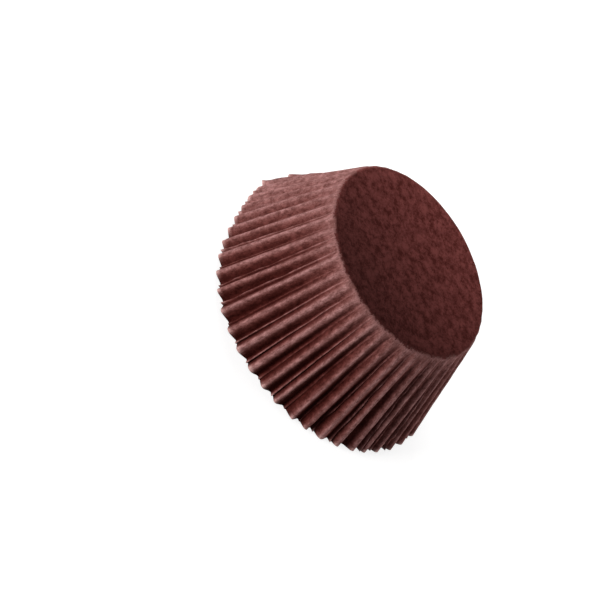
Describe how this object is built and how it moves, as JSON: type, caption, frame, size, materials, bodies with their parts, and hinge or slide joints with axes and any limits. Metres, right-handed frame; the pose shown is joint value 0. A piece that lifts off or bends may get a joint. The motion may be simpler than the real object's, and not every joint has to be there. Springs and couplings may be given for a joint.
{
  "type": "cupcake liner",
  "caption": "Pleated paper baking cup with a flat round base and a flared fluted wall, turned over to rest on its open mouth.",
  "frame": {"origin": "centre of the open mouth, at the height of the lowest points of the rim, which the liner rests on", "axes": "+Z from the open mouth up through the middle of the closed base; the wall is the same all round"},
  "size_m": [0.0711, 0.0712, 0.0312],
  "materials": {
    "paper": "matte chocolate-brown greaseproof paper"
  },
  "bodies": {
    "root": {"liner": "paper"}
  },
  "joints": []
}
